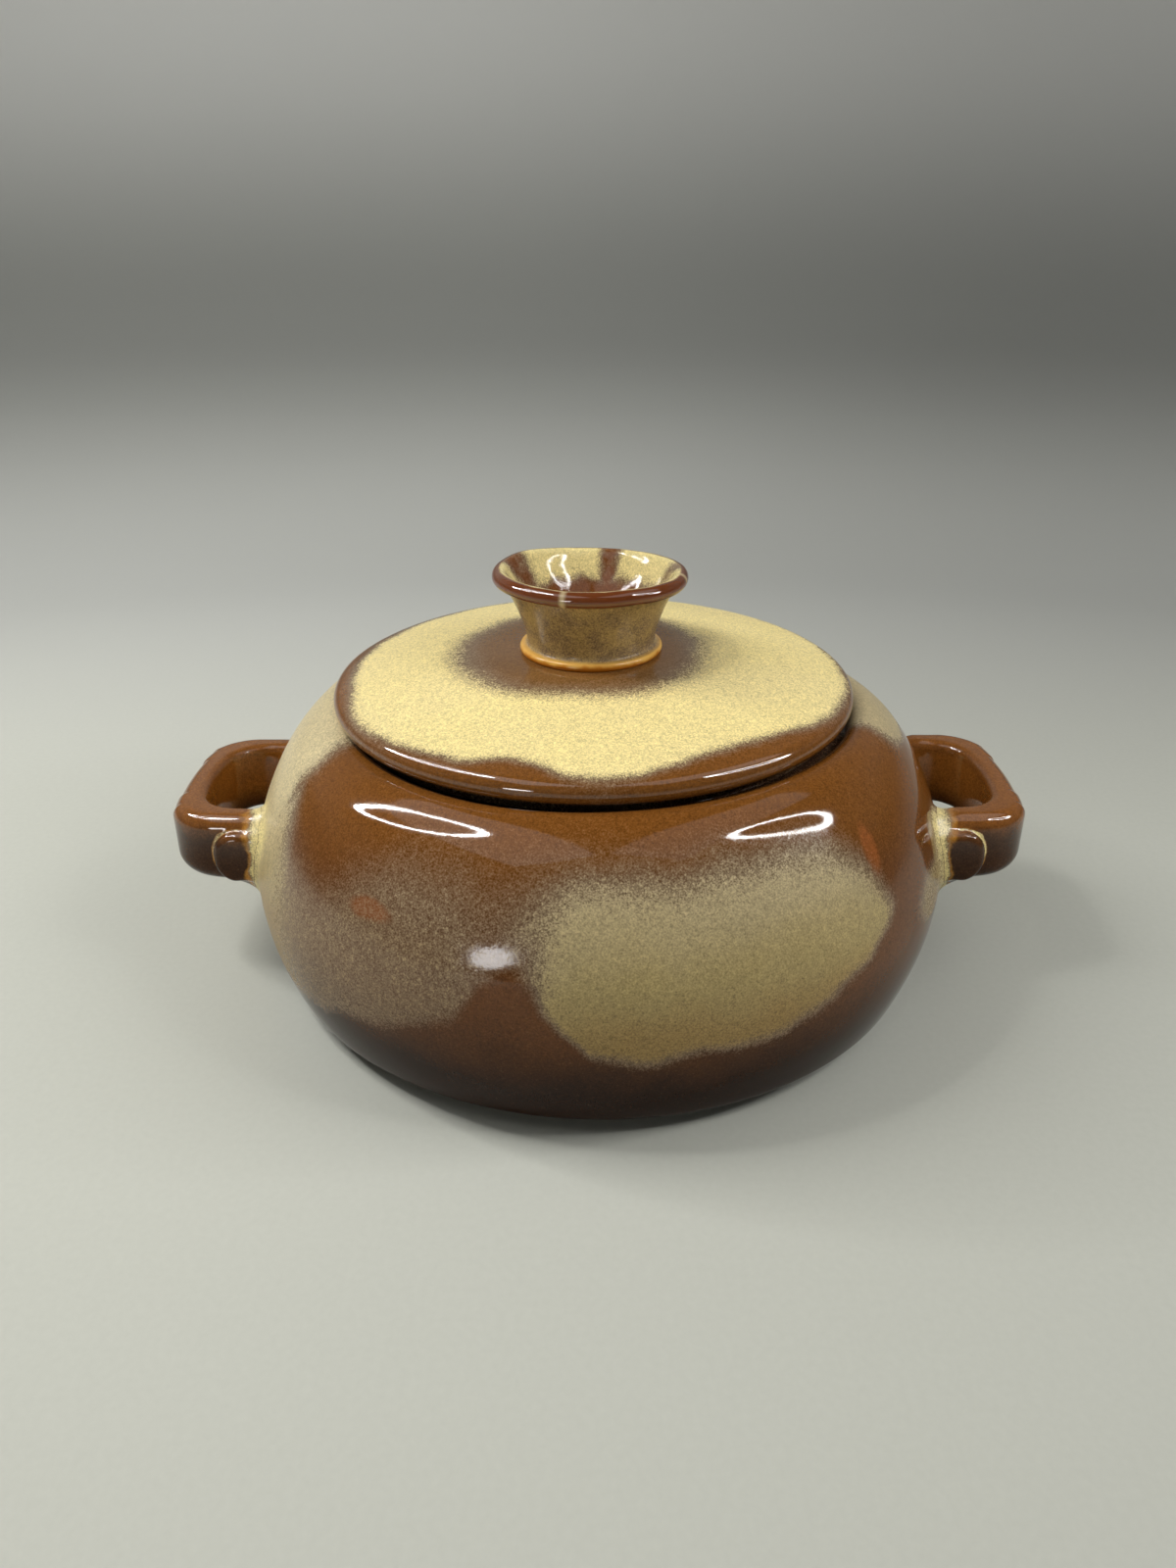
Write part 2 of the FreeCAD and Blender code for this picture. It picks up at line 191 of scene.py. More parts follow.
# Pot
BELLY_RADIUS, BELLY_HEIGHT = 110.0, 37.5
SIDE_ROUND, BOTTOM_ROUNDING, FOOT_HEIGHT = 79.6, 4.0, 4.4
FOOT_RADIUS, FOOT_WIDTH, FOOT_FLARE = 87.0, 9.0, 1.6
SHOULDER_RISE, SHOULDER_REACH = 20.8, 11.5
LIP_RADIUS, LIP_HEIGHT, LIP_ROLL = 81.0, 86.6, 4.0
WALL, FLOOR, INSIDE_CORNER = 6.5, 6.5, 14.0
SEAT_HEIGHT, GALLERY_RADIUS, MOUTH_RADIUS, LEDGE = 82.2, 77.0, 66.0, 6.5
SHELF_REACH, INNER_REACH, INNER_RISE = 6.0, 92.0, 20.0
LIP_DROP, LIP_WARP, WALL_INSET = 0.45, 1.0, 0.12


def side_and_corner(radius, corner, floor):
    """The side of the pot up to the belly, with the rounded corner from which it rises."""
    reach = radius - corner
    middle = (BELLY_RADIUS - SIDE_ROUND, BELLY_HEIGHT)
    turn = math.degrees(math.asin((BELLY_HEIGHT - floor - corner) / reach))
    return joined(
        arc(on_circle(middle, reach, -turn), corner, -90, -turn, 12),
        arc(middle, radius, -turn, 0, 30),
    )


def pot_outside():
    """The pot's outside, from the underside up to the lip's crest."""
    shoulder = bezier(
        (BELLY_RADIUS, BELLY_HEIGHT),
        (BELLY_RADIUS, BELLY_HEIGHT + SHOULDER_RISE),
        (LIP_RADIUS + SHOULDER_REACH, LIP_HEIGHT),
        (LIP_RADIUS, LIP_HEIGHT),
        60,
    )
    return joined(side_and_corner(SIDE_ROUND, BOTTOM_ROUNDING, FOOT_HEIGHT), shoulder)


def pot_profile():
    """The pot's profile, marked 0 outside and 1 inside, with the change over the roll of the lip."""
    floor, ceiling = FOOT_HEIGHT + FLOOR, SEAT_HEIGHT - LEDGE
    shelf, inner_belly = MOUTH_RADIUS + SHELF_REACH, BELLY_RADIUS - WALL
    foot = rounded(
        (0, FOOT_HEIGHT, 0),
        (FOOT_RADIUS - FOOT_WIDTH - FOOT_FLARE, FOOT_HEIGHT, 0.8),
        (FOOT_RADIUS - FOOT_WIDTH, 0, 1.2),
        (FOOT_RADIUS, 0, 1.2),
        (FOOT_RADIUS + FOOT_FLARE, FOOT_HEIGHT, 0.8),
        (FOOT_RADIUS + 2 * FOOT_FLARE, FOOT_HEIGHT, 0),
    )
    seat = rounded(
        (GALLERY_RADIUS, LIP_HEIGHT - LIP_ROLL, 0),
        (GALLERY_RADIUS, SEAT_HEIGHT, 0.2),
        (MOUTH_RADIUS, SEAT_HEIGHT, 2.0),
        (MOUTH_RADIUS, ceiling, 0.8),
        (shelf, ceiling, 0),
    )
    shoulder = bezier(
        (shelf, ceiling),
        (INNER_REACH, ceiling),
        (inner_belly, BELLY_HEIGHT + INNER_RISE),
        (inner_belly, BELLY_HEIGHT),
        40,
    )
    inside = side_and_corner(SIDE_ROUND - WALL, INSIDE_CORNER, floor)[::-1]
    return marked(
        (joined(foot, pot_outside(), longest=2.5), 0, 0),
        (arc((LIP_RADIUS, LIP_HEIGHT - LIP_ROLL), LIP_ROLL, 90, 180, 14), 0, 1),
        (joined(seat, shoulder, inside, [(0, floor)], longest=2.5), 1, 1),
    )


def hand_made(points):
    """The slight unevenness of the pot's side."""
    out = points.copy()
    length = np.hypot(points[:, 0], points[:, 1]) + 1e-9
    weight = smoothstep(points[:, 2], 4, 14)
    outward = (wobble(points, size=0.3, scale=38.0, seed=1) - WALL_INSET) * weight
    out[:, :2] += points[:, :2] * (outward / length)[:, None]
    return out


def make_pot():
    def bend(points):
        out = hand_made(points)
        warp = -LIP_DROP + LIP_WARP * np.sin(2 * angle_round(points))
        distance = np.hypot(*points[:, :2].T)
        at_lip = smoothstep(points[:, 2], 76, 85) * smoothstep(distance, MOUTH_RADIUS, GALLERY_RADIUS)
        out[:, 2] += warp * at_lip
        return out

    return lathe("pot_shell", *pot_profile(), TURN_STEPS, bend)


# Lid
LID_EDGE_CENTRE, LID_EDGE_HEIGHT, LID_EDGE_RADIUS = 76.3, 90.3, 3.6
CROWN_HEIGHT, KNOB_SEAT_RADIUS = 101.5, 21.9
LID_WALL, FLANGE_RADIUS, FLANGE_WIDTH, FLANGE_FOOT = 6.4, 63.7, 6.0, 74.5
LAND_RADIUS, LAND_HEIGHT = 74.7, 82.5
LID_SHIFT, KNOB_SHIFT, LID_LEAN, LID_LIFT = -1.8, -2.4, -0.3, 0.1


def lid_dome():
    """Centre height and radius of the lid's top, which meets the knob's seat and is tangent to the edge."""
    rise = CROWN_HEIGHT - LID_EDGE_HEIGHT
    known = KNOB_SEAT_RADIUS**2 + LID_EDGE_RADIUS**2 - LID_EDGE_CENTRE**2 - rise**2
    a = rise**2 / LID_EDGE_RADIUS**2 - 1
    b = rise * known / LID_EDGE_RADIUS**2
    c = known**2 / (4 * LID_EDGE_RADIUS**2) - KNOB_SEAT_RADIUS**2
    drop = (-b + math.sqrt(b**2 - 4 * a * c)) / (2 * a)
    return CROWN_HEIGHT - drop, math.hypot(KNOB_SEAT_RADIUS, drop)


def lid_profile():
    """The lid's profile, marked 0 on top and 1 underneath, with the change over the rounded edge."""
    centre, radius = lid_dome()

    def dome(sphere, start, end, count):
        distance = np.linspace(start, end, count)
        return np.c_[distance, centre + np.sqrt(sphere**2 - distance**2)]

    slope = math.degrees(math.asin(LID_EDGE_CENTRE / (radius - LID_EDGE_RADIUS)))
    edge_top = LID_EDGE_CENTRE * radius / (radius - LID_EDGE_RADIUS)
    ceiling = dome(radius - LID_WALL, FLANGE_RADIUS - FLANGE_WIDTH, 0, 40)
    under = LID_EDGE_HEIGHT - LID_EDGE_RADIUS
    below = rounded(
        (LID_EDGE_CENTRE, under, 0),
        (LAND_RADIUS, under, 0.3),
        (LAND_RADIUS, LAND_HEIGHT, 1.5),
        (FLANGE_RADIUS, LAND_HEIGHT, 1.0),
        (FLANGE_RADIUS, FLANGE_FOOT, 1.5),
        (FLANGE_RADIUS - FLANGE_WIDTH, FLANGE_FOOT, 1.5),
        (*ceiling[0], 2.5),
        (*ceiling[6], 0),
    )
    profile, marks = marked(
        (joined(dome(radius, 0, edge_top, 60), longest=2.5), 0, 0),
        (arc((LID_EDGE_CENTRE, LID_EDGE_HEIGHT), LID_EDGE_RADIUS, 90 - slope, -90, 32), 0, 1),
        (joined(below, ceiling[6:], longest=2.5), 1, 1),
    )
    return profile[::-1], marks[::-1]


def seated(points, shift):
    """The lid and its knob sit a little off the centre and not quite level."""
    lean = Matrix.Rotation(math.radians(LID_LEAN), 3, "Y")
    centre = np.array([0, 0, SEAT_HEIGHT])
    return (points - centre) @ np.array(lean).T + centre + np.array([shift, 0, LID_LIFT])


def make_lid():
    def bend(points):
        out = points.copy()
        out[:, 2] += wobble(points, size=0.2, scale=45.0, seed=2)
        return seated(out, LID_SHIFT)

    return lathe("lid_disc", *lid_profile(), TURN_STEPS, bend)


# Knob
KNOB_RIM, KNOB_ROLL = (27.15, 125.55), 2.35
NECK_RADIUS, BEAD_ROLL = 19.2, 1.3
KNOB_DROP, KNOB_BACK_DROP, KNOB_TILT = 0.35, 1.5, 0.9


def knob_profile():
    """The knob's profile, marked 0 outside and 1 in its cup, with the change over the rim's roll."""
    foot, floor = CROWN_HEIGHT - 0.6, CROWN_HEIGHT + 5.0
    neck = (NECK_RADIUS, CROWN_HEIGHT + 2 * BEAD_ROLL)
    outer_end = on_circle(KNOB_RIM, KNOB_ROLL, -110)
    inner_start = on_circle(KNOB_RIM, KNOB_ROLL, 140)
    into_cup = on_circle((0, 0), 4.1, 230)
    bead = joined(
        [(0, foot), (KNOB_SEAT_RADIUS - 1.0, foot)],
        arc((KNOB_SEAT_RADIUS - BEAD_ROLL, CROWN_HEIGHT + BEAD_ROLL), BEAD_ROLL, -60, 70, 14),
    )
    side = bezier(neck, (neck[0] + 1, neck[1] + 6.5), outer_end + into_cup, outer_end, 50)
    neck_fillet = bezier(
        bead[-1],
        (NECK_RADIUS + 0.35, bead[-1][1] + 0.15),
        (NECK_RADIUS + 0.1, neck[1] + 0.3),
        side[8],
        10,
    )
    cup = bezier(inner_start, inner_start + into_cup, (16.0, floor), (8.0, floor), 40)
    return marked(
        (joined(bead, neck_fillet, side[8:], longest=1.0), 0, 0),
        (arc(KNOB_RIM, KNOB_ROLL, -110, 140, 40), 0, 1),
        (joined(cup, [(0, floor)], longest=1.0), 1, 1),
    )


def make_knob():
    def bend(points):
        out = points.copy()
        turn = angle_round(points)
        high = smoothstep(points[:, 2], 106, 124)
        back = (1 - np.cos(turn)) / 2
        wave = 0.3 * np.sin(3 * turn + 2.1) * back + 0.12 * np.sin(5 * turn)
        out[:, 2] += high * (wave - KNOB_DROP - KNOB_BACK_DROP * back**2 - KNOB_TILT * back * np.sin(turn))
        out[:, :2] *= (1 + high * 0.008 * np.sin(3 * turn - 0.5))[:, None]
        out[:, 2] += wobble(points, size=0.15, scale=8.0, seed=3) * high
        return seated(out, KNOB_SHIFT)

    return lathe("knob_cup", *knob_profile(), KNOB_STEPS, bend)


# Handles
HANDLE_VOXEL = 0.5
PATCH_LOW, PATCH_HIGH, PATCH_TURN, PATCH_DEPTH = 10, 82, 34, 4.0
HALF_LENGTH, LEAN_SLOPE, LEFT_DROP = 31.5, 0.024, 0.3


def relaxed(points, edges, weight, rounds):
    """Moves each point towards its neighbours' mean, by its weight."""
    a, b = edges.T
    count = len(points)
    degree = (np.bincount(a, minlength=count) + np.bincount(b, minlength=count))[:, None]
    for _ in range(rounds):
        sums = [np.bincount(a, column[b], count) + np.bincount(b, column[a], count) for column in points.T]
        points = points + weight[:, None] * (np.stack(sums, 1) / degree - points)
    return points


def body_radius(height):
    """The pot's outer radius at a height."""
    side = pot_outside()
    order = np.argsort(side[:, 1], kind="stable")
    return np.interp(height, side[order, 1], side[order, 0])


def wall_patch(side, start):
    """A thin piece of the pot's wall behind a handle: its vertices, and its faces counted from start."""
    heights = np.linspace(PATCH_LOW, PATCH_HIGH, 73)
    turns = np.radians(np.linspace(-PATCH_TURN, PATCH_TURN, 85))
    rows, cols = len(heights), len(turns)
    vertices = []
    for depth in (0.0, PATCH_DEPTH):
        for z in heights:
            radius = body_radius(z) - depth
            vertices += [(radius * math.cos(t) * side, radius * math.sin(t), z) for t in turns]

    def index(layer, row, col):
        return start + (layer * rows + row) * cols + col

    faces = []
    for layer in (0, 1):
        for i in range(rows - 1):
            for j in range(cols - 1):
                loop = [index(layer, *corner) for corner in ((i, j), (i, j + 1), (i + 1, j + 1), (i + 1, j))]
                faces.append(loop if layer == 0 else loop[::-1])
    rim = [(0, j) for j in range(cols)] + [(i, cols - 1) for i in range(1, rows)]
    rim += [(rows - 1, j) for j in range(cols - 2, -1, -1)] + [(i, 0) for i in range(rows - 2, 0, -1)]
    for (i, j), (m, n) in zip(rim, rim[1:] + rim[:1]):
        faces.append([index(0, i, j), index(1, i, j), index(1, m, n), index(0, m, n)])
    return vertices, faces


def make_handle(name, node, side):
    """The frame's handle, grown together with a patch of the pot's wall, so its root has a soft fillet."""
    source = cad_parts[node].data
    vertices = np.array([v.co for v in source.vertices]) / MM
    handle_faces = [tuple(p.vertices) for p in source.polygons]
    patch_vertices, patch_faces = wall_patch(side, len(vertices))
    together = np.vstack([vertices, patch_vertices])
    rough = new_object(name + "_rough", together, handle_faces + patch_faces)
    modifier = rough.modifiers.new("remesh", "REMESH")
    modifier.mode = "VOXEL"
    modifier.voxel_size = HANDLE_VOXEL * MM
    mesh = bpy.data.meshes.new_from_object(rough.evaluated_get(bpy.context.evaluated_depsgraph_get()))
    bpy.data.objects.remove(rough)

    points = np.array([v.co for v in mesh.vertices]) / MM
    edges = np.array([tuple(e.vertices) for e in mesh.edges])
    outward = np.hypot(points[:, 0], points[:, 1]) - body_radius(points[:, 2])
    tree = BVHTree.FromPolygons([Vector(v) for v in vertices], handle_faces)
    reach = np.array([tree.find_nearest(Vector(p))[3] for p in points])

    # the steps that the remesh leaves are smoothed off everywhere, and the root is worn into a fillet
    root = 1 - smoothstep(outward, 2.0, 8.0)
    points = relaxed(points, edges, np.full(len(points), 0.2), 6)
    points = relaxed(points, edges, 0.5 * root * (1 - smoothstep(reach, 7, 12)), 90)

    # away from the handle the patch follows the pot's surface, and then sinks under it
    length = np.linalg.norm(points[:, :2], axis=1)
    cover = 0.04 - 0.1 * smoothstep(reach, 6, 20) - 2.5 * smoothstep(reach, 18, 26)
    exact = (body_radius(points[:, 2]) + cover) / length
    blend = smoothstep(reach, 5, 9) * (outward > -1.5)
    points[:, :2] *= (1 + (exact - 1) * blend)[:, None]
    points = hand_made(points)

    # the right handle rises a little towards the back, and the left one hangs a little low
    free = smoothstep(outward, 0, 8)
    points[:, 2] += free * ((points[:, 1] + HALF_LENGTH) * LEAN_SLOPE if side > 0 else -LEFT_DROP)

    mesh.vertices.foreach_set("co", (points * MM).astype(np.float32).ravel())
    mesh.shade_smooth()
    mesh.update()
    smooth = relaxed(points, edges, np.full(len(points), 0.5), 16)
    normals = np.array([v.normal for v in mesh.vertices])
    hollow = np.einsum("ij,ij->i", smooth - points, normals)
    in_opening = (outward > 3) * (np.abs(points[:, 1]) < 26)
    store(mesh, "hollow", hollow * (1 - in_opening))
    store(mesh, "outward", outward)
    obj = bpy.data.objects.new(name, mesh)
    bpy.context.scene.collection.objects.link(obj)
    return obj


# ---------------------------------------------------------------- materials


class Graph:
    """Short calls for building a material's nodes."""

    def __init__(self, name):
        self.material = bpy.data.materials.new(name)
        self.material.use_nodes = True
        self.tree = self.material.node_tree
        self.tree.nodes.clear()

    def add(self, kind, **settings):
        node = self.tree.nodes.new(kind)
        for key, value in settings.items():
            setattr(node, key, value)
        return node

    def put(self, socket, value):
        if isinstance(value, bpy.types.NodeSocket):
            self.tree.links.new(value, socket)
        elif value is not None:
            socket.default_value = value

    def math(self, operation, a, b=None, clamp=False):
        node = self.add("ShaderNodeMath", operation=operation, use_clamp=clamp)
        self.put(node.inputs[0], a)
        self.put(node.inputs[1], b)
        return node.outputs[0]

    def sum(self, *values):
        total = values[0]
        for value in values[1:]:
            total = self.math("ADD", total, value)
        return total

    def times(self, *values):
        total = values[0]
        for value in values[1:]:
            total = self.math("MULTIPLY", total, value)
        return total

    def largest(self, *values):
        total = values[0]
        for value in values[1:]:
            total = self.math("MAXIMUM", total, value)
        return total

    def absolute(self, value):
        return self.math("ABSOLUTE", value)

    def opposite(self, value):
        """1 where a value is 0, and 0 where it is 1."""
        return self.math("SUBTRACT", 1.0, value)

    def length(self, a, b):
        """Length of the vector with these two parts."""
        return self.math("SQRT", self.sum(self.times(a, a), self.times(b, b)))

    def vector(self, operation, a, b=None, scale=None):
        node = self.add("ShaderNodeVectorMath", operation=operation)
        self.put(node.inputs[0], a)
        self.put(node.inputs[1], b)
        if scale is not None:
            self.put(node.inputs["Scale"], scale)
        return node.outputs["Vector"]

    def split(self, vector):
        node = self.add("ShaderNodeSeparateXYZ")
        self.put(node.inputs[0], vector)
        return node.outputs

    def join(self, x, y, z):
        node = self.add("ShaderNodeCombineXYZ")
        for socket, value in zip(node.inputs, (x, y, z)):
            self.put(socket, value)
        return node.outputs[0]

    def step(self, value, low, high, to_low=0.0, to_high=1.0):
        """A smooth step of a value from low to high."""
        node = self.add("ShaderNodeMapRange", interpolation_type="SMOOTHSTEP")
        for socket, v in zip(node.inputs[:5], (value, low, high, to_low, to_high)):
            self.put(socket, v)
        return node.outputs[0]

    def noise(self, vector, size, detail=2.0, rough=0.5, seed=0.0):
        """Noise whose blobs are about that many millimetres across."""
        node = self.add("ShaderNodeTexNoise", noise_dimensions="4D")
        self.put(node.inputs["Vector"], vector)
        self.put(node.inputs["W"], seed)
        self.put(node.inputs["Scale"], 1.0 / size)
        self.put(node.inputs["Detail"], detail)
        self.put(node.inputs["Roughness"], rough)
        return node.outputs["Fac"]

    def sway(self, vector, size, amount, seed):
        """Noise about zero, that reaches about that amount either way."""
        centred = self.math("SUBTRACT", self.noise(vector, size, seed=seed), 0.5)
        return self.times(centred, 3.0 * amount)

    def blend(self, factor, a, b, mode="MIX"):
        node = self.add("ShaderNodeMix", data_type="RGBA", blend_type=mode)
        self.put(node.inputs[0], factor)
        self.put(node.inputs[6], a)
        self.put(node.inputs[7], b)
        return node.outputs[2]

    def attribute(self, name):
        return self.add("ShaderNodeAttribute", attribute_name=name).outputs["Fac"]

    def place(self):
        """The point in millimetres, in the row frame at rest."""
        return self.vector("SCALE", self.add("ShaderNodeTexCoord").outputs["Object"], scale=1 / MM)


def rgb(red, green, blue):
    """A colour from its 0 to 255 screen values."""
    values = [v / 255 for v in (red, green, blue)]
    return tuple(v / 12.92 if v <= 0.04045 else ((v + 0.055) / 1.055) ** 2.4 for v in values) + (1.0,)


BROWN = rgb(116, 71, 26)
BROWN_DEEP = rgb(100, 61, 29)
BROWN_FOOT_SHADE = rgb(40, 21, 10)
HAZE = rgb(128, 107, 84)
CREAM = rgb(180, 160, 108)
CREAM_GREY = rgb(180, 163, 124)
STRIP_CREAM = rgb(204, 188, 146)
ROOT_CREAM = rgb(222, 204, 142)
GOLD = rgb(200, 140, 56)
OCHRE = rgb(172, 128, 62)
ORANGE = rgb(186, 104, 52)
SHADE = rgb(26, 16, 9)
GALLERY_BROWN = rgb(62, 39, 25)
LOW_CREAM_SHADE = rgb(96, 78, 50)

HANDLE_BROWN = rgb(124, 76, 32)
HANDLE_LOW_SHADE = rgb(64, 40, 23)
HANDLE_INSIDE = rgb(142, 88, 34)

CROWN_BROWN = rgb(118, 82, 42)
LID_CREAM = rgb(237, 217, 146)
LID_CREAM_GREY = rgb(230, 211, 152)
UNDER_BROWN = rgb(72, 45, 26)

CUP_BROWN = rgb(112, 66, 32)
KNOB_BROWN = rgb(108, 80, 40)
KNOB_CREAM = rgb(176, 148, 92)
RIM_BROWN = rgb(104, 52, 20)
RIM_CREAM = rgb(190, 172, 132)
BEAD_AMBER = rgb(190, 114, 26)
BEAD_PALE_HIGHLIGHT = rgb(224, 172, 80)

FLOOR_DARK = rgb(190, 191, 180)
FLOOR_LIGHT = rgb(198, 199, 188)
FAR_FLOOR = rgb(206, 207, 201)
LOW_WALL_SHADE = rgb(152, 153, 148)
UPPER_WALL_LIGHT = rgb(224, 224, 220)
UPPER_LEFT_WALL_LIGHT = rgb(244, 244, 240)
BLACK = rgb(0, 0, 0)

LUG_PLACE, LUG_HALF_WIDTH = 27.5, 2.5  # from the middle of a handle, along Y
LUG_MIDDLE, LUG_HALF_HEIGHT = 45.5, 7.0
HALO_SHIFT = (5.5, -2.5)  # the brown halo round the knob isn't centred on it


def turned(g, x, y, angle):
    """Degrees round the axis from a direction."""
    turn = math.radians(angle)
    across = g.sum(g.times(x, math.cos(turn)), g.times(y, math.sin(turn)))
    along = g.math("SUBTRACT", g.times(x, math.sin(turn)), g.times(y, math.cos(turn)))
    return g.times(g.math("ARCTAN2", across, along), 180 / math.pi)


def near(g, x, y, angle, half_width):
    """1 in a direction, falling softly to 0 at half_width degrees either side of it."""
    return g.step(g.absolute(turned(g, x, y, angle)), half_width, 0)


def band(g, value, low, high, soft_low, soft_high):
    """1 between two limits, with a soft step of its own width inside each of them."""
    above = g.step(g.math("SUBTRACT", value, low), 0, soft_low)
    below = g.step(g.math("SUBTRACT", high, value), 0, soft_high)
    return g.times(above, below)


def blot(g, x, y, z, angle, height, wide, tall):
    """1 in the middle of a soft oval on the pot's side, that reaches wide degrees and tall millimetres."""
    across = g.times(turned(g, x, y, angle), 1 / wide)
    up = g.times(g.sum(z, -height), 1 / tall)
    return g.step(g.length(across, up), 1.15, 0.6)


def past(g, value, start, slope, power=1.0):
    """0 up to a start, then grows by a slope and a power; a negative slope counts downwards from it."""
    beyond = g.largest(g.times(g.math("SUBTRACT", value, start), math.copysign(1.0, slope)), 0.0)
    return g.times(g.math("POWER", beyond, power), abs(slope))


def fine_grain(g, p, seed=3.0):
    """The glaze's fine crystals: noise about zero, mostly within a half either way."""
    fine = g.noise(p, 0.5, 1.0, 0.6, seed)
    coarse = g.noise(p, 1.1, 1.0, 0.5, seed + 1)
    return g.times(g.math("SUBTRACT", g.sum(g.times(fine, 0.7), g.times(coarse, 0.3)), 0.5), 3.2)


def layered(g, p, thick, thin_colour, thick_colour, strength=1.0):
    """Colour of the glaze: brown where it is thin, a grey haze, then cream where it is thick."""
    grain = g.times(fine_grain(g, p), strength)
    spread = g.sum(0.2, g.times(thick, g.opposite(thick), 0.4))
    cover = g.sum(thick, g.times(grain, spread))
    tinted = g.blend(g.step(cover, 0.04, 0.55), thin_colour, HAZE)
    tinted = g.blend(g.step(cover, 0.34, 0.90), tinted, thick_colour)
    light = g.sum(1.0, g.times(grain, 0.62))
    colour = g.blend(1.0, tinted, g.join(light, light, light), "MULTIPLY")
    return colour, g.step(cover, 0.2, 0.8), grain


def relief(g, p, grain, cover, depth):
    """Height of the glaze's surface in millimetres: its crystals, on a soft unevenness."""
    crystals = g.times(grain, g.sum(0.002, g.times(cover, depth)))
    return g.sum(crystals, g.sway(p, 3.0, 0.004, seed=2.0))


def wall_shine(g, z):
    """How strongly the pot's wall reflects, which is less towards its foot."""
    return g.step(z, 10, 60, 0.12, 0.42)


GLAZE_IOR = 1.45


def glaze_shader(g, colour, rough, bump_height, shine=0.4):
    shader = g.add("ShaderNodeBsdfPrincipled")
    g.put(shader.inputs["Specular IOR Level"], shine)
    g.put(shader.inputs["Base Color"], colour)
    g.put(shader.inputs["Roughness"], rough)
    shader.inputs["IOR"].default_value = GLAZE_IOR
    bump = g.add("ShaderNodeBump")
    bump.inputs["Strength"].default_value = 1.0
    bump.inputs["Distance"].default_value = MM
    g.put(bump.inputs["Height"], bump_height)
    g.put(shader.inputs["Normal"], bump.outputs[0])
    output = g.add("ShaderNodeOutputMaterial")
    g.tree.links.new(shader.outputs[0], output.inputs[0])


def warped(g, p, amount):
    """The place moved about by soft noise, so that the glaze's patches get uneven edges."""
    warp = g.add("ShaderNodeTexNoise")
    g.put(warp.inputs["Vector"], p)
    warp.inputs["Scale"].default_value = 1 / 24
    warp.inputs["Detail"].default_value = 3.0
    shift = g.vector("SUBTRACT", warp.outputs["Color"], (0.5, 0.5, 0.5))
    return g.vector("ADD", p, g.vector("SCALE", shift, scale=amount))


def root_pool(g, p):
    """Thick glaze that has pooled on the pot's wall round the roots of the handles."""
    x, y, z = g.split(p)
    from_lug = g.absolute(g.sum(g.absolute(y), -LUG_PLACE))
    from_middle = g.absolute(g.sum(z, -LUG_MIDDLE))
    across, up = g.sum(from_lug, -LUG_HALF_WIDTH), g.sum(from_middle, -LUG_HALF_HEIGHT)
    gap = g.length(g.largest(across, 0.0), g.largest(up, 0.0))
    at_side = g.step(g.absolute(x), 60, 80)
    return g.times(g.step(g.sum(gap, g.sway(p, 11, 2.6, seed=9.0)), 11.0, 3.5), at_side)


def side_glaze(g, p):
    """The glaze on the pot's side: its thickness, and its colours where thin and where thick, both darkened
    towards the foot by painted shade.
    """
    x, y, z = g.split(warped(g, p, 9.0))
    front = turned(g, x, y, 0)

    # the cream patches right and left of the front: limits in height over degrees round the pot
    right_low = g.sum(27.0, past(g, front, 20, 0.1, 1.6), past(g, front, -2, -2.2))
    right_high = g.math("SUBTRACT", 87.0, past(g, front, 34, 0.1, 2.0))
    right = g.times(band(g, z, right_low, right_high, 9, 25), g.step(front, -18, -2), 0.96)
    left_low = g.sum(14.0, past(g, front, -46, 0.8), past(g, front, -20, 1.5))
    left_high = g.sum(73.0, past(g, front, -46, 1.1), past(g, front, -56, -2.0))
    left_high = g.math("MINIMUM", left_high, 88.0)
    left_side = g.times(
        band(g, z, left_low, left_high, 8, 26),
        g.step(front, -2, -22),
        g.step(front, -118, -100),
        g.step(front, -48, -66, 0.40, 0.8),
    )
    sides = g.math("SUBTRACT", g.sum(right, left_side), g.times(right, left_side))

    # the pale strip behind the left handle, and smaller patches on the shoulder, the right and the back
    edge = g.sum(g.absolute(g.sum(turned(g, x, y, -90), 4.0)), g.sway(p, 34, 7.0, seed=14.0))
    strip = g.times(band(g, z, 9.0, 96.0, 8, 12), g.step(edge, 38, 24), 0.95)
    thick = g.largest(
        sides,
        strip,
        blot(g, x, y, z, 92, 87, 22, 13),
        g.times(blot(g, x, y, z, 66, 44, 11, 10), 0.6),
        g.times(blot(g, x, y, z, -156, 54, 31, 26), 0.9),
        g.times(blot(g, x, y, z, 146, 49, 30, 27), 0.84),
    )

    level = g.split(p)[2]
    up = g.sum(level, g.sway(p, 18, 5.0, seed=6.0))
    thin = g.blend(g.step(up, 80, 56), BROWN, BROWN_DEEP)
    # painted shade: the brown goes dark towards the foot, where the pot turns under away from the lamps
    thin = g.blend(g.step(up, 44, 14), thin, BROWN_FOOT_SHADE)
    flaw = g.largest(
        g.times(blot(g, x, y, z, -35, 59.5, 4.5, 3.4), 0.45),
        g.times(blot(g, x, y, z, 46, 69, 2.2, 7), 0.4),
    )
    thin = g.blend(g.times(flaw, 0.8), thin, ORANGE)
    pool = root_pool(g, p)
    thick = g.largest(g.times(thick, g.opposite(g.times(flaw, 0.7))), g.times(pool, 0.9))
    full = g.blend(g.step(g.sum(level, g.sway(p, 24, 8.0, seed=8.0)), 46, 70), CREAM, CREAM_GREY)
    full = g.blend(strip, full, STRIP_CREAM)
    low = g.step(g.sum(level, g.sway(p, 10, 4.0, seed=7.0)), 52, 34)
    full = g.blend(g.times(low, 0.5), full, OCHRE)
    # painted shade: the cream darkens towards the foot, where less light falls
    full = g.blend(g.times(g.step(up, 76, 26), 0.42), full, LOW_CREAM_SHADE)
    return thick, thin, g.blend(pool, full, ROOT_CREAM)


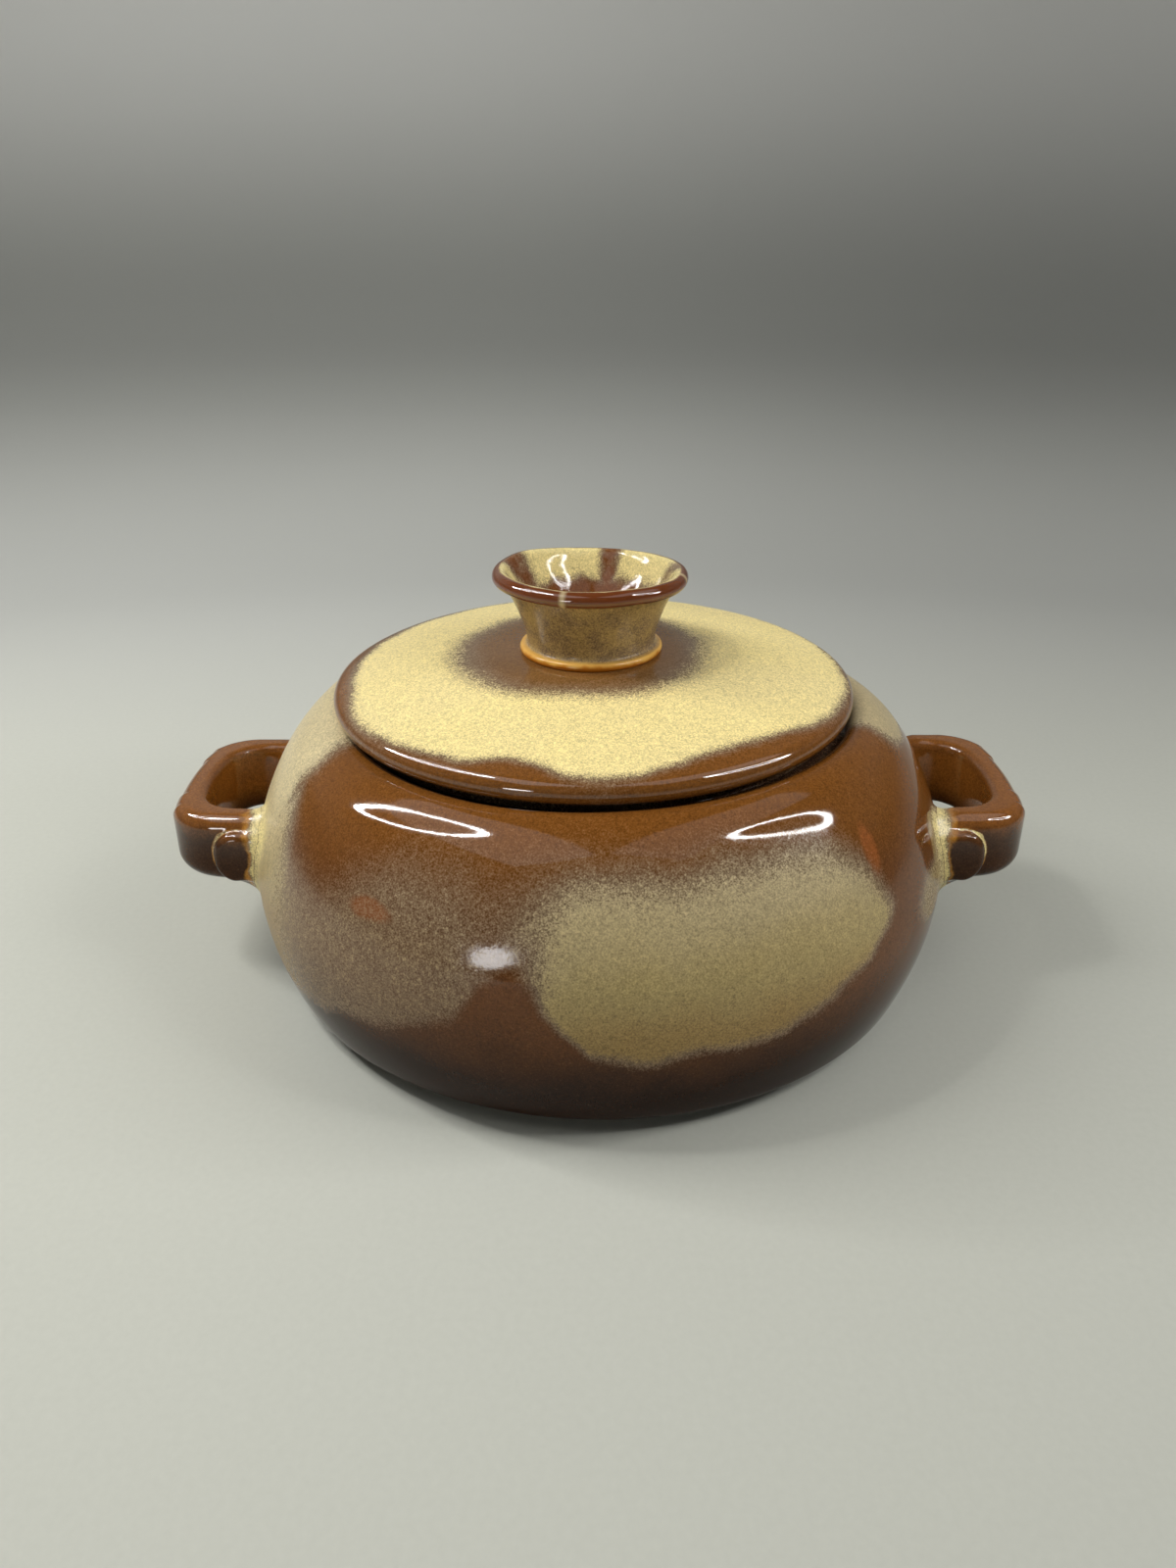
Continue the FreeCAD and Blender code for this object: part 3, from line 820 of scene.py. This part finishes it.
def pot_material(name):
    g = Graph(name)
    p = g.place()
    x, y, z = g.split(p)
    thick, thin, full = side_glaze(g, p)
    colour, cover, grain = layered(g, p, thick, thin, full)
    inner = g.attribute("mark")
    gallery = g.step(z, 74.5, 75.9)
    bare = g.blend(gallery, BROWN_DEEP, GALLERY_BROWN)
    specks = g.sum(0.3, g.sway(p, 30, 0.25, seed=12.0))
    specks = g.times(specks, g.opposite(g.times(gallery, 0.6)))
    lining, _, _ = layered(g, p, specks, bare, CREAM_GREY)
    colour = g.blend(g.step(inner, 0.9, 1.0), colour, lining)
    # painted shade: towards the front, the lip's inner roll and the gallery are painted near black for the
    # deep shade in the gap under the lid
    gap_shade = g.times(near(g, x, y, -22, 74), band(g, inner, 0.02, 1.5, 0.1, 0.5), gallery)
    colour = g.blend(gap_shade, colour, SHADE)
    height = relief(g, p, grain, cover, 0.02)
    glaze_shader(g, colour, g.sum(0.06, g.times(cover, 0.28)), height, wall_shine(g, z))
    return g.material


def handle_material(name):
    g = Graph(name)
    p = g.place()
    x, y, z = g.split(p)
    hollow, outward = g.attribute("hollow"), g.attribute("outward")
    on_wall = g.step(outward, 1.2, 0.4)
    thick, thin, full = side_glaze(g, p)
    aside, far_out = g.absolute(y), g.absolute(x)
    outer_side = g.largest(g.step(aside, 28.5, HALF_LENGTH), g.step(z, 42, 38), g.step(y, 0, -10))
    root_width = g.step(z, 47, 56, 5.0, 9.5)
    root = g.step(g.sum(outward, g.sway(p, 5, 1.6, seed=4.0)), root_width, 0.0)
    root = g.times(root, g.step(outward, 0.3, 1.2))
    outline = g.step(g.sum(hollow, g.sway(p, 3, 0.04, seed=1.0)), 0.04, 0.18)
    upwards = g.step(g.sum(z, g.sway(p, 6, 3.0, seed=7.0)), 40, 50, 0.4, 0.85)
    outline = g.times(outline, upwards, g.step(x, -60, 60, 0.7, 1.0))
    pooled = g.largest(g.times(outline, g.step(outward, 2, 4)), g.times(root, outer_side, 0.95))
    # painted shade: the handles' brown darkens on their lower faces
    lower_shade = g.step(g.sum(z, g.sway(p, 8, 3.0, seed=5.0)), 57, 50)
    brown = g.blend(lower_shade, HANDLE_BROWN, HANDLE_LOW_SHADE)
    in_opening = g.times(g.step(far_out, 126.5, 124.5), g.step(aside, 23.5, 21.5))
    brown = g.blend(g.times(in_opening, band(g, z, 36.0, 57.5, 10, 3)), brown, HANDLE_INSIDE)
    brown = g.blend(g.step(outward, 1.5, 0.5), brown, thin)
    gold = g.blend(g.step(g.sum(pooled, g.sway(p, 3, 0.2, seed=8.0)), 0.15, 0.55), brown, GOLD)
    thick = g.largest(g.times(thick, on_wall), g.step(pooled, 0.2, 0.95))
    colour, cover, grain = layered(g, p, thick, gold, g.blend(on_wall, ROOT_CREAM, full))
    height = relief(g, p, grain, cover, 0.012)
    free_shine = g.step(z, 42, 60, 0.15, 0.8)
    shine = g.sum(g.times(wall_shine(g, z), on_wall), g.times(free_shine, g.opposite(on_wall)))
    glaze_shader(g, colour, g.sum(0.06, g.times(cover, 0.28)), height, shine)
    return g.material


def lid_material(name):
    g = Graph(name)
    p = g.place()
    x, y, _ = g.split(p)
    distance = g.length(x, y)
    limit = g.sum(
        77.0,
        g.times(near(g, x, y, 32, 34), -6.5),
        g.times(near(g, x, y, -18, 13), -4.5),
        g.times(near(g, x, y, 3, 14), 1.5),
        g.times(near(g, x, y, -55, 30), 3.5),
        g.times(near(g, x, y, 180, 120), 2.5),
        g.sway(p, 9, 1.2, seed=2.0),
    )
    outer = g.step(g.math("SUBTRACT", distance, limit), 3.5, -6.5)
    halo = g.length(g.sum(x, HALO_SHIFT[0]), g.sum(y, HALO_SHIFT[1]))
    inner = g.step(g.sum(halo, g.sway(p, 16, 3.0, seed=4.0)), 24, 51)
    thick = g.times(outer, inner)
    thin = g.blend(g.step(distance, 70, 50), BROWN, CROWN_BROWN)
    full = g.blend(g.sum(0.5, g.sway(p, 30, 0.4, seed=3.0)), LID_CREAM, LID_CREAM_GREY)
    colour, cover, grain = layered(g, p, thick, thin, full, 0.95)
    below, _, _ = layered(g, p, g.sum(0.2, g.sway(p, 26, 0.25, seed=11.0)), UNDER_BROWN, CREAM_GREY)
    colour = g.blend(g.step(g.attribute("mark"), 0.78, 0.88), colour, below)
    height = relief(g, p, grain, cover, 0.02)
    shine = g.step(distance, 71, 76, 0.4, 0.9)
    glaze_shader(g, colour, g.sum(0.05, g.times(cover, 0.35)), height, shine)
    return g.material


def knob_material(name):
    g = Graph(name)
    p = g.place()
    x, y, z = g.split(p)
    x = g.sum(x, -KNOB_SHIFT)
    over_rim = g.sum(g.attribute("mark"), g.sway(p, 6, 0.05, seed=6.0))
    rim = g.step(over_rim, 0.03, 0.10)
    inside = g.step(over_rim, 0.74, 0.84)
    right_streak = g.times(near(g, x, y, 96, 22), 0.7)
    streaks = g.largest(near(g, x, y, -112, 26), near(g, x, y, 166, 15), right_streak)
    streaks = g.times(streaks, g.sum(0.9, g.sway(p, 3, 0.3, seed=4.0)))
    deep = g.step(g.sum(z, g.sway(p, 6, 2.0, seed=5.0)), 122, 114)
    in_cup = g.math("SUBTRACT", 1.0, g.largest(streaks, deep), clamp=True)
    cup, _, _ = layered(g, p, in_cup, CUP_BROWN, ROOT_CREAM, 0.8)
    thick = g.sum(0.62, g.sway(p, 7, 0.25, seed=3.0))
    colour, cover, grain = layered(g, p, thick, KNOB_BROWN, KNOB_CREAM, 0.8)
    outer = g.times(rim, g.opposite(inside))
    skips = g.largest(near(g, x, y, -16.7, 3.0), near(g, x, y, 74, 4.0))
    colour = g.blend(inside, colour, cup)
    colour = g.blend(outer, colour, g.blend(g.times(skips, 0.8), RIM_BROWN, RIM_CREAM))
    bead = g.step(z, 104.5, 103.9)
    # the bead is amber below and pale on top; the pale top is paler glaze and also a painted highlight of
    # the light from above
    bead_top_highlight = g.step(g.sum(z, g.sway(p, 4, 1.0, seed=7.0)), 102.5, 104.0)
    colour = g.blend(bead, colour, g.blend(bead_top_highlight, BEAD_AMBER, BEAD_PALE_HIGHLIGHT))
    crystals = g.times(grain, cover, 0.012, g.opposite(outer))
    height = g.sum(crystals, g.sway(p, 3.0, 0.004, seed=2.0))
    dull = g.times(g.opposite(g.largest(outer, inside)), 0.16)
    glaze_shader(g, colour, g.sum(0.05, dull), height, g.sum(0.4, g.times(outer, 0.6)))
    return g.material


# ---------------------------------------------------------------- stage


def stage_material():
    """Pale paper, lighter on the far floor, with painted light and shade: darker low on the wall, lighter
    higher up and lightest at the upper left, and darker towards the right.
    """
    g = Graph("backdrop_paper")
    p = g.place()
    x, y, z = g.split(p)
    grain = g.noise(p, 2.0)
    paper = g.blend(grain, FLOOR_DARK, FLOOR_LIGHT)
    paper = g.blend(g.step(y, 60, 420), paper, FAR_FLOOR)
    # painted shade and light on the wall: darker low down, lighter higher up, and lightest to the upper left
    paper = g.blend(g.step(z, 5, 130), paper, LOW_WALL_SHADE)
    upper_wall_light = g.blend(g.step(x, 100, -600), UPPER_WALL_LIGHT, UPPER_LEFT_WALL_LIGHT)
    paper = g.blend(g.step(z, 150, 400), paper, upper_wall_light)
    # painted shade: the paper darkens by up to a quarter towards the right
    paper = g.blend(g.step(x, -150, 400, 0.0, 0.25), paper, BLACK)
    shader = g.add("ShaderNodeBsdfPrincipled")
    g.put(shader.inputs["Base Color"], paper)
    shader.inputs["Roughness"].default_value = 0.9
    output = g.add("ShaderNodeOutputMaterial")
    g.tree.links.new(shader.outputs[0], output.inputs[0])
    return g.material


def make_backdrop():
    """Floor and wall in one round sweep, open at the top, with its far side behind the pot."""
    middle, reach, bend, top = (0, -600), 1400, 380, 2200
    line = np.vstack([arc((reach - bend, bend), bend, -90, 0, 24), [(reach, top)]])
    turns = np.linspace(0, 2 * math.pi, 128, endpoint=False)
    vertices = [
        (middle[0] + r * math.sin(t), middle[1] - r * math.cos(t), z) for r, z in line for t in turns
    ]
    count = len(turns)
    faces = [tuple(range(count))]
    for i in range(len(line) - 1):
        for j in range(count):
            k = (j + 1) % count
            faces.append((i * count + k, i * count + j, (i + 1) * count + j, (i + 1) * count + k))
    floor = new_object("backdrop", np.array(vertices, float), faces)
    floor.data.materials.append(stage_material())


def aimed(name, data, place, aim, roll=0.0):
    """Links a lamp that looks from its place at a point, turned by roll degrees about its beam."""
    lamp = bpy.data.objects.new(name, data)
    lamp.location = Vector(place) * MM
    lamp.rotation_euler = (Vector(place) - Vector(aim)).to_track_quat("Z", "Y").to_euler()
    lamp.rotation_euler.rotate_axis("Z", math.radians(roll))
    bpy.context.scene.collection.objects.link(lamp)
    return lamp


def direction(angle, height):
    """Unit vector at an angle round the axis and a height above the horizon, in degrees."""
    turn, rise = math.radians(angle), math.radians(height)
    return Vector((math.sin(turn) * math.cos(rise), -math.cos(turn) * math.cos(rise), math.sin(rise)))


def ring_lamp(name, angle, height, distance, size, width, power, roll):
    """A ring-shaped soft lamp, as an elliptical area lamp whose middle is dark."""
    data = bpy.data.lights.new(name, "AREA")
    data.shape = "ELLIPSE"
    data.size, data.size_y = size[0] * MM, size[1] * MM
    data.energy = power
    data.use_nodes = True
    tree = data.node_tree
    place = tree.nodes.new("ShaderNodeNewGeometry").outputs["Parametric"]
    shift = tree.nodes.new("ShaderNodeVectorMath")
    shift.operation = "SUBTRACT"
    shift.inputs[1].default_value = (0.5, 0.5, 0.0)
    tree.links.new(place, shift.inputs[0])
    flat = tree.nodes.new("ShaderNodeVectorMath")
    flat.operation = "MULTIPLY"
    flat.inputs[1].default_value = (1, 1, 0)
    tree.links.new(shift.outputs[0], flat.inputs[0])
    length = tree.nodes.new("ShaderNodeVectorMath")
    length.operation = "LENGTH"
    tree.links.new(flat.outputs[0], length.inputs[0])
    ring = tree.nodes.new("ShaderNodeMapRange")
    ring.inputs["From Min"].default_value = 0.49 - width
    ring.inputs["From Max"].default_value = 0.50 - width
    tree.links.new(length.outputs["Value"], ring.inputs["Value"])
    tree.links.new(ring.outputs[0], tree.nodes["Emission"].inputs["Strength"])
    aim = Vector((0, 0, 60))
    aimed(name, data, aim + direction(angle, height) * distance, aim, roll)


def soft_lamp(name, place, aim, size, power, roll=0.0, shape="RECTANGLE"):
    data = bpy.data.lights.new(name, "AREA")
    data.shape = shape
    data.size, data.size_y = size[0] * MM, size[1] * MM
    data.energy = power
    aimed(name, data, place, aim, roll)


def make_lights():
    ring_lamp("ring_left", -90, 48.6, 620, (420, 110), 0.08, 8.9, 54)
    ring_lamp("ring_right", 73, 37.5, 620, (390, 120), 0.08, 6.4, -46)
    soft_lamp("panel_left", (-400, -116, 800), (-400, -116, 0), (400, 900), 1.3, 25.5)
    soft_lamp("panel_right", (400, -116, 800), (400, -116, 0), (400, 900), 0.9, -25.5)
    belly = Vector((-40, -80, 45))
    soft_lamp("spot", belly + direction(-29.4, 5) * 600, belly, (150, 90), 0.5, 20, "ELLIPSE")
    world = bpy.data.worlds.new("studio")
    world.use_nodes = True
    background = world.node_tree.nodes["Background"]
    background.inputs["Color"].default_value = (1, 1, 1, 1)
    background.inputs["Strength"].default_value = 0.06
    bpy.context.scene.world = world


# ---------------------------------------------------------------- the scene


def dress(obj, material, body, slot, *nodes):
    obj.data.materials.clear()
    obj.data.materials.append(material)
    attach(obj, body)
    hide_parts(*nodes)


make_camera()
make_backdrop()
make_lights()
dress(make_pot(), pot_material("pot_glaze"), "pot", "pot_glaze", "pot_body")
handle_glaze = handle_material("handle_glaze")
dress(make_handle("handle_left", "left_handle", -1), handle_glaze, "pot", "handle_glaze", "left_handle")
dress(make_handle("handle_right", "right_handle", 1), handle_glaze, "pot", "handle_glaze", "right_handle")
dress(make_lid(), lid_material("lid_glaze"), "lid_assembly", "lid_glaze", "lid")
dress(make_knob(), knob_material("knob_glaze"), "lid_assembly", "knob_glaze", "lid_knob")

bpy.context.scene.view_settings.view_transform = "Standard"
bpy.context.view_layer.update()
